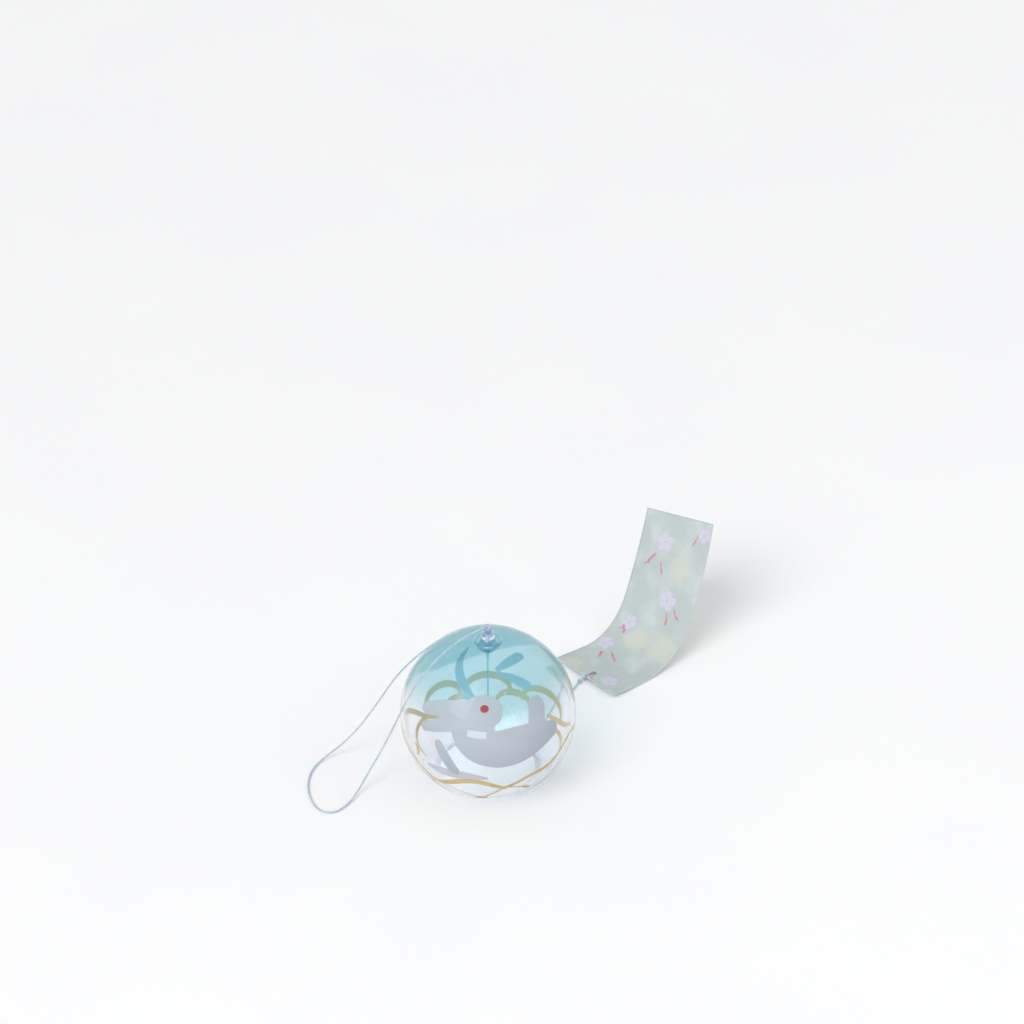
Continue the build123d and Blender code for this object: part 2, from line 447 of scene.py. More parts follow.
# The first stretch of the tail, a straight thread from the hanging clapper down towards the tail on the
# table
low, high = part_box("tail_lead")
tailLead = straightThread("tailLead", (0, 0, high.z), (0, 0, low.z - knot["leadOverlap"]))
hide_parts("tail_lead")
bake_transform(tailLead)
2 * thread["radius"]
print("knots and clapper thread made")


# Glass

glass = {"ior": 1.47, "rippleHeight": 0.4 * mm}
bell = {
    "outerRadius": 40.0 * mm,
    "wall": 1.8 * mm,
    "mouthRadius": 25.0 * mm,
    # corners of the mouth edge: how far from the wall's surface they are, and how high
    "outerLip": ((0.35 * mm, 0.0), (0.1 * mm, 0.06 * mm)),
    "innerLip": ((0.2 * mm, 0.05 * mm), (0.6 * mm, 0.0)),
    # degrees by which the wall's arcs stop short of them
    "outerGap": 0.5,
    "innerGap": 0.6,
    "holeRadius": 1.8 * mm,
    "collarRadius": 6.0 * mm,
    "collarRise": 0.6 * mm,
    "collarRound": 0.45 * mm,
    "steps": 320,
    "wallCorners": 72,
    "collarCorners": 6,
    # where the edge's shallow dips are, in shares of a turn, and how deep, in millimetres
    "dipTurns": (0.01, 0.22, 0.33, 0.45, 0.59, 0.74, 0.87),
    "dipDepths": (0.35, 0.5, 0.3, 0.45, 0.325, 0.5, 0.4),
    "dipRadius": 9.0 * mm,
    "dipStart": 23.35 * mm,
    "dipStep": 0.6 * mm,
    # radians to either side of its middle that a dip can reach
    "dipReach": 0.5,
    "edgeHeight": 2.0 * mm,
    "tailDipAngle": 42.0,
    "tailDipRadius": 3.2 * mm,
    "tailDipHeight": 1.6 * mm,
    "tint": linear(250, 250, 253),
    "shadow": linear(248, 249, 252),
    "roughness": 0.03,
    "ripple": 0.12,
    "rippleScale": 38.0,
    # the cut edge at the mouth is matt
    "matt": {"roughness": 0.6, "low": 0.2 * mm, "high": 0.8 * mm},
}
bellHeart = Vector((0, 0, math.sqrt(bell["outerRadius"] ** 2 - bell["mouthRadius"] ** 2)))
wallRadius = bell["outerRadius"] - bell["wall"]


def glassFinish(name, look):
    finish = newFinish(name)
    roughness = look["roughness"]
    if "matt" in look:
        matt = look["matt"]
        height = finish.axis(finish.place(), "Z")
        roughness = roughness + matt["roughness"] * (1.0 - height.ramp(matt["low"], matt["high"]))
    sockets = {
        "Base Color": look["tint"],
        "Roughness": roughness,
        "IOR": glass["ior"],
        "Transmission Weight": 1.0,
    }
    if "ripple" in look:
        ripples = finish.noise(look["rippleScale"])
        sockets["Normal"] = finish.bump(ripples, look["ripple"], glass["rippleHeight"])
    return finish.end(finish.letLampsThrough(finish.surface(sockets), look["shadow"]))


def arc(heart, radius, start, end, count):
    # corners of a profile arc, in degrees from the outward direction
    corners = []
    for step in range(count + 1):
        angle = math.radians(start + (end - start) * step / count)
        corners.append((heart[0] + radius * math.cos(angle), heart[1] + radius * math.sin(angle)))
    return corners


def spun(name, profile, steps, material):
    # a closed profile of radii and heights, spun round the axis
    shape = bmesh.new()
    corners = [shape.verts.new((radius, 0, height)) for radius, height in profile]
    edges = [shape.edges.new((corners[index - 1], corners[index])) for index in range(len(corners))]
    bmesh.ops.spin(
        shape,
        geom=corners + edges,
        cent=(0, 0, 0),
        axis=(0, 0, 1),
        angle=2 * math.pi,
        steps=steps,
        use_merge=True,
    )
    bmesh.ops.remove_doubles(shape, verts=shape.verts, dist=1e-7)
    bmesh.ops.recalc_face_normals(shape, faces=shape.faces)
    return newObject(name, meshOf(shape, name), material)


def bellProfile():
    middle = bellHeart.z
    outerRadius, holeRadius, rounding = bell["outerRadius"], bell["holeRadius"], bell["collarRound"]
    fromMouth = math.degrees(math.asin(-middle / outerRadius)) + bell["outerGap"]
    toCollar = math.degrees(math.acos(bell["collarRadius"] / outerRadius))
    innerMouth = math.asin(-middle / wallRadius)
    toHole = math.degrees(math.acos(holeRadius / wallRadius))
    toMouth = math.degrees(innerMouth) + bell["innerGap"]
    rim = middle + outerRadius + bell["collarRise"] - rounding
    profile = [(bell["mouthRadius"] - off, height) for off, height in bell["outerLip"]]
    profile += arc((0, middle), outerRadius, fromMouth, toCollar, bell["wallCorners"])
    for radius, start in ((bell["collarRadius"] - rounding, 0), (holeRadius + rounding, 90)):
        profile += arc((radius, rim), rounding, start, start + 90, bell["collarCorners"])
    profile += arc((0, middle), wallRadius, toHole, toMouth, bell["wallCorners"])
    innerRadius = wallRadius * math.cos(innerMouth)
    profile += [(innerRadius + off, height) for off, height in bell["innerLip"]]
    return profile + [(bell["dipStart"], 0.0), (bell["dipStart"] + bell["dipStep"], 0.0)]


def edgeLift(place):
    # how far the hand-cut edge is dipped at this point of the mouth
    reach = math.hypot(place.x, place.y)
    angle = math.atan2(place.y, place.x)
    outward = (reach - bell["dipStart"]) / (bell["mouthRadius"] - bell["dipStart"])
    outward = min(max(outward, 0.0), 1.0)
    lift = 0.0
    for turn, depth in zip(bell["dipTurns"], bell["dipDepths"]):
        off = math.remainder(angle - 2 * math.pi * turn, 2 * math.pi)
        if abs(off) < bell["dipReach"]:
            across = reach * math.sin(off)
            lift = max(lift, depth * mm * outward - across**2 / (2 * bell["dipRadius"]))
    # the notch for the tail thread
    off = math.remainder(angle - math.radians(bell["tailDipAngle"]), 2 * math.pi)
    across = reach * math.sin(off)
    if abs(off) < bell["dipReach"] and abs(across) < bell["tailDipRadius"]:
        roof = math.sqrt(bell["tailDipRadius"] ** 2 - across**2)
        lift = max(lift, roof - bell["tailDipRadius"] + bell["tailDipHeight"])
    return lift


def makeBell(material):
    piece = spun("bellGlass", bellProfile(), bell["steps"], material)
    middleRadius = bell["outerRadius"] - bell["wall"] / 2
    start = math.sqrt(middleRadius**2 - bellHeart.z**2)
    for vertex in piece.data.vertices:
        if vertex.co.z > bell["edgeHeight"]:
            continue
        lift = edgeLift(vertex.co)
        if lift > vertex.co.z:
            # the edge moves up along the slope of the wall
            spread = math.sqrt(middleRadius**2 - (bellHeart.z - lift) ** 2) - start
            reach = math.hypot(vertex.co.x, vertex.co.y)
            slope = spread * (lift - vertex.co.z) / lift
            vertex.co.x *= (reach + slope) / reach
            vertex.co.y *= (reach + slope) / reach
            vertex.co.z = lift
    return piece


bellGlass = makeBell(glassFinish("bellGlass", bell))
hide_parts("glass_bell")
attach(bellGlass, "bell")
print("bell glass made")


# Colour sprayed and painted on the inside of the glass, so that it lies just in its surface.
# Each coat is lifted a little further into the glass than the ones that it covers.

paint = {
    "thinness": 0.01,
    "fineVoxel": 0.26 * mm,
    "broadVoxel": 0.4 * mm,
    "strokeRoundness": 4,
    "strokeSteps": 8,
    "capSegments": 16,
    "softenings": 4,
    "roughness": 0.55,
    "streakStretch": (1.0, 1.0, 3.0),
    "streakBump": 0.15,
    "streakHeight": 0.1 * mm,
    "tintScale": 24.0,
    "tintShare": 0.8,
    "glow": 0.35,
}


def globePoint(azimuth, latitude):
    # azimuth 0 faces the front and 90 the right
    a, b = math.radians(azimuth), math.radians(latitude)
    flat = Vector((math.sin(a) * math.cos(b), -math.cos(a) * math.cos(b), math.sin(b)))
    return flat * wallRadius


def alongGlobe(stroke):
    # points and brush sizes of a stroke given as azimuth, latitude and half width in millimetres
    return (
        [globePoint(azimuth, latitude) for azimuth, latitude, width in stroke],
        [width * mm for azimuth, latitude, width in stroke],
    )


def meltedStrokes(name, strokes, voxel):
    # round strokes of soft paint, melted into one outline before they are pressed to the glass
    curve = newCurve(name, 1.0, paint["strokeRoundness"], paint["strokeSteps"])
    bodies = [alongGlobe(stroke) for stroke in strokes]
    for places, radii in bodies:
        addLine(curve, "NURBS", places, radii)
    source = newObject(name, asMesh(newObject(name, curve), name))
    shape = bmesh.new()
    shape.from_mesh(source.data)
    segments = paint["capSegments"]
    for places, radii in bodies:
        for end in (0, -1):
            bmesh.ops.create_uvsphere(
                shape,
                u_segments=segments,
                v_segments=segments // 2,
                radius=radii[end],
                matrix=Matrix.Translation(places[end]),
            )
    shape.to_mesh(source.data)
    shape.free()
    melt = source.modifiers.new("melt", "REMESH")
    melt.mode = "VOXEL"
    melt.voxel_size = voxel
    soften = source.modifiers.new("soften", "SMOOTH")
    soften.iterations = paint["softenings"]
    return asMesh(source, name)


def paintOnGlass(name, coat):
    # the outer half of the soft shape, pressed to a thin coat
    mesh = meltedStrokes(name, coat["strokes"], coat["voxel"])
    shape = bmesh.new()
    shape.from_mesh(mesh)
    shape.normal_update()
    inner = [face for face in shape.faces if face.normal.dot(face.calc_center_median()) < 0]
    bmesh.ops.delete(shape, geom=inner, context="FACES")
    for vertex in shape.verts:
        out = vertex.co.length
        pressed = wallRadius + coat["lift"] + (out - wallRadius) * paint["thinness"]
        vertex.co = vertex.co * pressed / out + bellHeart
    for face in shape.faces:
        face.smooth = True
    shape.to_mesh(mesh)
    shape.free()
    piece = newObject(name, mesh, paintFinish(coat["finish"], coat))
    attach(piece, "bell")


def paintFinish(name, coat):
    finish = newFinish(name)
    streaks = finish.noise(coat["streakScale"], 4.0, stretch=paint["streakStretch"])
    base = finish.mix(streaks.ramp(0.3, 0.7), coat["shade"], coat["colour"])
    if "tint" in coat:
        patches = finish.noise(paint["tintScale"], 1.0).ramp(0.35, 0.75)
        base = finish.mix(patches * paint["tintShare"], base, coat["tint"])
    shader = finish.surface({
        "Base Color": base,
        "Roughness": paint["roughness"] - 0.1 * streaks,
        "Normal": finish.bump(streaks, paint["streakBump"], paint["streakHeight"]),
    })
    # some light comes through the thin coat, so that its inner side isn't dark
    glow = finish.add("ShaderNodeBsdfTranslucent", {}, {"Color": coat["colour"]})
    return finish.end(finish.blend(paint["glow"], shader, glow))


waves = {
    "finish": "wavePaint",
    "lift": 0.05 * mm,
    "voxel": paint["fineVoxel"],
    "streakScale": 70.0,
    "colour": linear(236, 211, 143),
    "shade": linear(226, 196, 124),
    "brush": 1.95,
    # the brush's share at a scallop's feet, how full its arc is, and the steps along it
    "footBrush": 0.45,
    "fullness": 0.75,
    "arcSteps": 12,
    # azimuth, half width, top and foot of each scallop, with its share of the brush
    "scallops": (
        (180, 17, -8.5, -21.5, 1.0), (-143, 17, -9.5, -24, 1.0), (131, 22, -10.5, -23, 0.95),
        (159, 14, -20, -28, 0.9), (-157, 13, -22.5, -29, 0.85), (-114, 24, -25, -41, 0.6),
        (96, 24, -27, -42, 0.6), (129, 11, -33, -42, 0.6),
    ),
    # the wide ones at the sides and the front were drawn more freely
    "freeStrokes": (
        ((-40, -29, 1.2), (-50, -25, 1.1), (-60, -17, 1.0), (-71, -10, 1.0), (-80, -4, 1.1),
         (-90, -2, 1.3), (-99, -5, 1.4), (-109, -12, 1.3), (-119, -21, 1.2), (-127, -28, 0.8),
         (-136, -32, 0.5)),
        ((-43, -29, 1.0), (-33, -26, 1.6), (-20, -19, 1.7), (-9, -17, 1.7), (1, -20, 1.5),
         (12, -26, 1.1)),
        ((11, -25, 0.8), (19, -23, 1.1), (29, -17, 1.1), (41, -16, 1.3), (51, -12, 1.0),
         (60, -5, 0.8), (70, -1, 0.8), (80, -3, 0.9), (90, -10, 1.0), (99, -18, 1.2),
         (108, -22, 1.4), (118, -24, 1.2), (126, -26, 0.7)),
        ((9, -24, 0.5), (20, -26, 0.6), (31, -30, 0.6)),
        ((-80, -37, 0.35), (-73, -33, 0.5), (-63, -29, 0.5), (-50, -27, 0.5), (-36, -29, 0.45),
         (-20, -33, 0.45), (-7, -42, 0.5)),
        ((-6, -42, 0.7), (3, -31, 0.6), (12, -26, 0.6)),
        ((-56, -2, 0.9), (-52, -5, 1.4), (-55, -10, 0.8)),
    ),
}
dots = {
    "finish": "waveDots",
    "lift": 0.08 * mm,
    "voxel": paint["fineVoxel"],
    "streakScale": 70.0,
    "colour": linear(220, 180, 124),
    "shade": linear(208, 165, 108),
    "strokes": (
        ((-10, -41, 1.0), (-6, -42, 1.9), (-2, -41, 1.0)),
        ((27, -29, 0.6), (31, -32, 1.2), (34, -33, 0.6)),
        ((-48, -29, 0.7), (-47, -33, 1.3)),
    ),
}


def scallop(azimuth, halfWidth, top, foot, share):
    stroke = []
    for step in range(waves["arcSteps"] + 1):
        turn = math.pi * step / waves["arcSteps"]
        swell = waves["footBrush"] + (1 - waves["footBrush"]) * math.sin(turn)
        stroke.append((
            azimuth + halfWidth * math.cos(turn),
            foot + (top - foot) * math.sin(turn) ** waves["fullness"],
            waves["brush"] * share * swell,
        ))
    return stroke


scallops = [scallop(*row) for row in waves["scallops"]]
waves["strokes"] = (*scallops, *waves["freeStrokes"])

splash = {
    "finish": "splashPaint",
    "lift": 0.03 * mm,
    "voxel": paint["broadVoxel"],
    "streakScale": 70.0,
    "colour": linear(198, 228, 235),
    "shade": linear(184, 220, 231),
    "strokes": (
        ((-165, 17, 0.9), (-161, 10, 1.5), (-159, 0, 2.1), (-160, -9, 2.3), (-163, -18, 2.4),
         (-166, -25, 2.3)),
        ((173, -4, 1.4), (167, 1, 2.4), (162, 6, 2.7), (157, 11, 2.5)),
        ((171, -8, 1.2), (164, -9, 2.2), (156, -12, 2.7), (151, -12.5, 2.6)),
    ),
}
rabbit = {
    "finish": "rabbitPaint",
    "lift": 0.14 * mm,
    "voxel": paint["broadVoxel"],
    "streakScale": 40.0,
    "colour": linear(199, 208, 213),
    "shade": linear(190, 200, 206),
    "tint": linear(206, 204, 213),
    "strokes": (
        # head
        ((-9, 35.5, 7.0), (-4, 37, 7.8), (-0.5, 36, 7.1)),
        # neck
        ((-10, 31, 5.0), (-7, 25, 6.2), (-5, 18, 6.6)),
        # ears
        ((-53, 27.5, 2.6), (-43, 31, 3.7), (-31, 34.5, 3.8), (-17, 37, 3.5), (-8, 36, 3.2)),
        ((-49, 15.5, 2.3), (-39, 20, 3.1), (-29, 24, 3.4), (-19, 29, 3.4), (-11, 33, 3.2)),
        # back and haunch
        ((-21, 23, 4.6), (-13, 14.5, 8.0), (4, 8.6, 9.1), (19, 10.5, 9.5), (34, 13, 7.6), (48, 13.5, 4.2)),
        # tail
        ((37, 22, 4.2), (40, 28, 4.7), (42, 33.5, 4.2)),
        # foreleg
        ((-35, 8, 2.2), (-29.5, -1, 3.2), (-23, -10, 2.4)),
    ),
}
# a pale lavender coat in a band across the lower front of the glass, below the rabbit
lowBand = {
    "finish": "lowBandPaint",
    "lift": 0.03 * mm,
    "voxel": paint["broadVoxel"],
    "streakScale": 70.0,
    "colour": linear(223, 220, 234),
    "shade": linear(214, 213, 227),
    "strokes": (
        ((-43, -13, 1.4), (-34, -14, 2.4), (-22, -13, 2.7), (-10, -12.5, 1.9), (-1, -14, 0.9)),
    ),
}
eye = {
    "finish": "eyePaint",
    "lift": 0.26 * mm,
    "voxel": paint["fineVoxel"],
    "streakScale": 70.0,
    "colour": linear(192, 64, 72),
    "shade": linear(178, 54, 62),
    "strokes": (((-3.3, 38, 1.75), (-2.9, 38, 1.8), (-2.5, 38, 1.75)),),
}
for name, coat in (
    ("wavePaint", waves),
    ("waveDots", dots),
    ("splashPaint", splash),
    ("lowBandPaint", lowBand),
    ("rabbitPaint", rabbit),
    ("rabbitEye", eye),
):
    paintOnGlass(name, coat)

spray = {
    "lift": 0.01 * mm,
    "colour": linear(128, 200, 208),
    "crownColour": linear(106, 190, 203),
    "stain": linear(203, 234, 235),
    "shadow": linear(206, 236, 240),
    "roughness": 0.5,
    "powderShare": 0.3,
    "strength": 0.86,
    "crownStrength": 0.1,
    "crownStart": 0.45,
    # a slow drift moves the edge and the crown's colour, and the powder has a fine grain
    "driftScale": 34.0,
    "edgeDrift": 0.12,
    "crownDrift": 0.4,
    "grainScale": 700.0,
    "grainStrength": 0.08,
    # how high the lower edge of the sprayed colour lies, as a share of the wall's radius,
    # at shares of a turn that start at the back
    "edgeShares": (
        (0.0, 0.14), (0.05, 0.07), (0.11, 0.05), (0.2, 0.28), (0.33, 0.18), (0.5, 0.16),
        (0.67, 0.2), (0.78, 0.4), (0.86, 0.62), (0.95, 0.31), (1.0, 0.14),
    ),
    "softFront": 0.5,
    "softBack": 0.07,
    # the edge firms up between these depths, in shares of the wall's radius
    "backStart": -0.3,
    "backEnd": 0.2,
    "crownOpening": 2.2 * mm,
    "roundSegments": 128,
    "heightSegments": 96,
}


def sprayFinish():
    finish = newFinish("sprayedColour")
    place = finish.place()
    x, y, z = (finish.axis(place, name) for name in "XYZ")
    height = (z - bellHeart.z) / wallRadius
    turn = x.angle(y * -1.0) / (2 * math.pi) + 0.5
    stops = [(share, (edge, edge, edge, 1.0)) for share, edge in spray["edgeShares"]]
    edge = finish.add("ShaderNodeValToRGB", {"stops": stops}, {0: turn})
    backness = (y / wallRadius).ramp(spray["backStart"], spray["backEnd"])
    soft = spray["softFront"] + (spray["softBack"] - spray["softFront"]) * backness
    drift = finish.noise(spray["driftScale"], 3.0) - 0.5
    cover = ((height - edge + drift * spray["edgeDrift"]) / soft).ramp(0.0, 1.0)
    crown = (height + drift * spray["crownDrift"]).ramp(spray["crownStart"], 1.0)
    grain = finish.noise(spray["grainScale"]) - 0.5
    strength = spray["strength"] + spray["crownStrength"] * crown + spray["grainStrength"] * grain
    # the colour is mostly a clear stain, with a little of it lying on the glass as powder
    powder = finish.surface({
        "Base Color": finish.mix(crown, spray["colour"], spray["crownColour"]),
        "Roughness": spray["roughness"],
    })
    coat = finish.blend(spray["powderShare"], finish.clear(spray["stain"]), powder)
    film = finish.blend(cover * strength, finish.clear((1, 1, 1, 1)), coat)
    return finish.end(finish.letLampsThrough(film, spray["shadow"]))


def makeSpray():
    # a thin film over the upper glass, open round the crown hole
    radius = wallRadius + spray["lift"]
    crownHeight = math.sqrt(radius**2 - spray["crownOpening"] ** 2)
    shape = bmesh.new()
    bmesh.ops.create_uvsphere(
        shape,
        u_segments=spray["roundSegments"],
        v_segments=spray["heightSegments"],
        radius=radius,
        matrix=Matrix.Translation(bellHeart),
    )
    for height, side in ((0.0, -1), (crownHeight, 1)):
        bmesh.ops.bisect_plane(
            shape,
            geom=shape.verts[:] + shape.edges[:] + shape.faces[:],
            plane_co=bellHeart + Vector((0, 0, height)),
            plane_no=(0, 0, side),
            clear_outer=True,
        )
    piece = newObject("sprayedColour", meshOf(shape, "sprayedColour"), sprayFinish())
    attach(piece, "bell")


makeSpray()
print("painting made")


# Beads at the crown, and the clapper tube with its ends rounded in the flame

crownBead = {
    "radius": 3.1 * mm,
    "bore": 1.2 * mm,
    # degrees and height by which the sphere and the bore stop short of their common edge
    "edgeTurn": 5.0,
    "edgeDrop": 0.25 * mm,
    "corners": 40,
    "steps": 64,
    "tint": linear(238, 234, 246),
    "shadow": linear(240, 238, 246),
    "roughness": 0.02,
}
innerBead = {
    "bore": 1.2 * mm,
    "rimRound": 1.3 * mm,
    "boreRound": 0.3 * mm,
    "rimCorners": 10,
    "boreCorners": 5,
    "steps": 64,
    "tint": linear(112, 172, 208),
    "shadow": linear(150, 190, 220),
    "roughness": 0.03,
}
tube = {
    "bore": 1.3 * mm,
    "rimRound": 0.45 * mm,
    "boreRound": 0.45 * mm,
    "rimCorners": 6,
    "boreCorners": 6,
    "steps": 48,
    "tint": linear(232, 240, 244),
    "shadow": linear(235, 240, 245),
    "roughness": 0.02,
    "ripple": 0.05,
    "rippleScale": 90.0,
}


def beadProfile(low, high, bead):
    # a bored sphere in the middle of its box
    middle = (low.z + high.z) / 2
    boreTurn = math.degrees(math.asin(bead["bore"] / bead["radius"]))
    reach = 90 - boreTurn - bead["edgeTurn"]
    rise = bead["radius"] * math.cos(math.radians(boreTurn)) - bead["edgeDrop"]
    profile = arc((0, middle), bead["radius"], -reach, reach, bead["corners"])
    return profile + [(bead["bore"], middle + off) for off in (rise, 0.0, -rise)]


def ringProfile(low, high, ring):
    # a ring that fills its box, with its edges rounded
    rim, bore = ring["rimRound"], ring["boreRound"]
    profile = []
    for heart, rounding, start, corners in (
        ((high.x - rim, low.z + rim), rim, -90, ring["rimCorners"]),
        ((high.x - rim, high.z - rim), rim, 0, ring["rimCorners"]),
        ((ring["bore"] + bore, high.z - bore), bore, 90, ring["boreCorners"]),
        ((ring["bore"] + bore, low.z + bore), bore, 180, ring["boreCorners"]),
    ):
        profile += arc(heart, rounding, start, start + 90, corners)
    return profile


for name, node, body, slot, material, profile, sizes in (
    ("crownBead", "crown_bead", "bell", "clear_glass", "beadGlass", beadProfile, crownBead),
    ("innerBead", "inner_bead", "bell", "blue_glass", "blueGlass", ringProfile, innerBead),
    ("clapperTube", "clapper_tube", "tube", "clear_glass", "tubeGlass", ringProfile, tube),
):
    low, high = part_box(node)
    piece = spun(name, profile(low, high, sizes), sizes["steps"], glassFinish(material, sizes))
    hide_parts(node)
    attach(piece, body)
print("beads and clapper tube made")


# Paper strip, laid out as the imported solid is

strip = {
    "width": 40.0 * mm,
    "length": 100.0 * mm,
    "thickness": 0.36 * mm,
    "near": (45.4 * mm, 68.1 * mm, 2.0 * mm),
    "prop": 1.75 * mm,
    # degrees: where the flat end points, and how far the strip curls up, turns and rolls
    "heading": 41.0,
    "lie": 17.0 * mm,
    "curlRadius": 33.0 * mm,
    "curl": 60.0,
    "turn": 28.0,
    "roll": 22.0,
    "rollPower": 1.5,
    "rows": 100,
    "columns": 32,
    "holeInset": 5.0 * mm,
    "holeRadius": 1.6 * mm,
    "holeSegments": 40,
    "punchHeight": 8.0 * mm,
}


def stripDirection():
    # along the flat near end
    heading = math.radians(strip["heading"])
    return Vector((math.cos(heading), math.sin(heading), 0))


def stripFrames():
    # place, across and upward direction at each row of the strip
    lie, radius = strip["lie"], strip["curlRadius"]
    slope = -(
        math.atan2(radius, lie) + math.asin((strip["prop"] - radius) / math.hypot(lie, radius))
    )
    curl = math.radians(strip["curl"]) - slope
    step = strip["length"] / strip["rows"]
    place, frames = Vector(strip["near"]), []
    for row in range(strip["rows"] + 1):
        for run in (row * step - step / 2, row * step):
            past = max(run - lie, 0.0)
            turned = past / (strip["length"] - lie)
            pitch = slope + curl * min(past / (radius * curl), 1.0)
            heading = math.radians(strip["heading"] + strip["turn"] * turned)
            flat = math.cos(pitch)
            ahead = Vector((math.cos(heading) * flat, math.sin(heading) * flat, math.sin(pitch)))
            if run < row * step and row:
                place = place + ahead * step
        across = Vector((math.sin(heading), -math.cos(heading), 0))
        roll = math.radians(strip["roll"]) * turned ** strip["rollPower"]
        across = Matrix.Rotation(-roll, 3, ahead) @ across
        frames.append((place, across, across.cross(ahead)))
    return frames


paper = {
    "ground": linear(176, 189, 187),
    "groundPale": linear(194, 204, 202),
    "cream": linear(200, 202, 190),
    "petal": linear(204, 200, 220),
    "petalLine": linear(184, 176, 206),
    "bud": linear(218, 112, 152),
    "budDark": linear(188, 86, 132),
    "fibre": linear(232, 236, 232),
    "back": linear(198, 207, 203),
    "backPale": linear(216, 222, 218),
    "fibreScale": 60.0,
    "fibreStretch": (1.0, 7.0, 1.0),
    "fibreHeight": 0.12 * mm,
    # the printed shapes waver by this many millimetres
    "waver": 1.6,
    "waverScale": 26.0,
    # how strongly each print covers what is under it
    "creamShare": 0.75,
    "petalShare": 0.8,
    "petalLineShare": 0.7,
    "budShare": 0.9,
    "fibreShare": 0.16,
    # how deep the notches between the petals are, as a share of the flower's radius
    "notch": 0.38,
    # across and along, in millimetres, with the flower's radius and turn
    "flowers": (
        (-5.5, 86.0, 5.4, 0.3), (4.0, 60.0, 5.4, 1.1), (-11.5, 43.5, 4.4, 2.0),
        (-15.0, 27.5, 5.0, 0.7), (9.5, 6.5, 4.8, 1.6), (16.0, 94.0, 4.0, 2.4),
    ),
    # buds: from and to, in millimetres, and half width
    "buds": (
        (-13.0, 74.5, -9.5, 79.0, 0.85), (-14.5, 73.0, -11.5, 74.5, 0.5), (-5.0, 76.0, -3.5, 71.0, 0.7),
        (10.5, 88.0, 12.5, 93.0, 0.6), (6.0, 54.5, 7.5, 49.5, 0.7), (9.5, 57.0, 13.0, 53.5, 0.7),
        (-13.5, 41.0, -11.0, 37.5, 0.7), (-14.5, 38.5, -12.5, 40.5, 0.5), (-11.5, 21.5, -9.5, 17.5, 0.9),
        (-7.5, 24.0, -2.0, 20.5, 0.7), (0.5, 2.5, 4.0, 0.8, 0.6), (-1.5, 5.0, 2.5, 3.0, 0.5),
    ),
    # across, along and radius, in millimetres
    "creamSpots": ((-2.0, 37.0, 7.0), (11.5, 38.0, 7.5), (-11.5, 3.0, 6.0), (6.0, 76.0, 6.5)),
}


def newPaper(name):
    # one side of the paper, with its flat coordinates and its fibres
    finish = newFinish(name)
    flat = finish.add("ShaderNodeUVMap", {"uv_map": "UVMap"})
    fibres = finish.noise(paper["fibreScale"], 4.0, vector=flat, stretch=paper["fibreStretch"])
    return finish, flat, fibres


def paperFinish():
    finish, flat, fibres = newPaper("printedPaper")
    wobble = finish.noise(paper["waverScale"], vector=flat) - 0.5
    x = (finish.axis(flat, "X") - 0.5) * (strip["width"] / mm) + wobble * paper["waver"]
    y = finish.axis(flat, "Y") * (strip["length"] / mm) + wobble * paper["waver"]
    clouds = finish.noise(3.2, 3.0, vector=flat, stretch=(1.0, 2.0, 1.0))
    colour = finish.mix(clouds.ramp(0.4, 0.72), paper["ground"], paper["groundPale"])
    for spotX, spotY, radius in paper["creamSpots"]:
        away = (x - spotX).distance(y - spotY)
        share = (radius - away + wobble * 8.0).ramp(-1.5, 3.5)
        colour = finish.mix(share * paper["creamShare"], colour, paper["cream"])
    for flowerX, flowerY, radius, turn in paper["flowers"]:
        across, along = x - flowerX, y - flowerY
        away = across.distance(along)
        lobe = abs((along.angle(across) * 2.5 + turn).sine())
        inside = radius * (1 - paper["notch"] + paper["notch"] * lobe.root()) - away
        creases = (0.28 - lobe).ramp(0.0, 0.2) * (away / radius).ramp(0.1, 0.5)
        lines = (0.7 - abs(inside - 0.2)).ramp(0.0, 0.6) + creases + (1.0 - away).ramp(0.0, 0.5)
        lineShare = lines.lowest(1.0) * paper["petalLineShare"]
        petal = finish.mix(lineShare, paper["petal"], paper["petalLine"])
        colour = finish.mix(inside.ramp(-0.3, 0.5) * paper["petalShare"], colour, petal)
    for startX, startY, endX, endY, width in paper["buds"]:
        runX, runY = endX - startX, endY - startY
        share = ((x - startX) * runX + (y - startY) * runY) / (runX**2 + runY**2)
        share = share.highest(0.0).lowest(1.0)
        away = (x - startX - share * runX).distance(y - startY - share * runY)
        inside = (width * (0.5 + 0.35 * share) - away).ramp(-0.2, 0.25)
        bud = finish.mix(share, paper["budDark"], paper["bud"])
        colour = finish.mix(inside * paper["budShare"], colour, bud)
    pale = (fibres - 0.35).ramp(0.0, 0.3) * paper["fibreShare"]
    shader = finish.surface({
        "Base Color": finish.mix(pale, colour, paper["fibre"]),
        "Roughness": 0.8 - 0.15 * fibres,
        "Sheen Weight": 0.1,
        "Normal": finish.bump(fibres, 0.25, paper["fibreHeight"]),
    })
    return finish.end(shader)


def plainPaperFinish():
    finish, flat, fibres = newPaper("plainPaper")
    clouds = finish.noise(4.0, 3.0, vector=flat)
    tone = (fibres * 0.6 + clouds * 0.4).ramp(0.35, 0.7)
    shader = finish.surface({
        "Base Color": finish.mix(tone, paper["back"], paper["backPale"]),
        "Roughness": 0.85 - 0.15 * fibres,
        "Normal": finish.bump(fibres, 0.3, paper["fibreHeight"]),
    })
    return finish.end(shader)


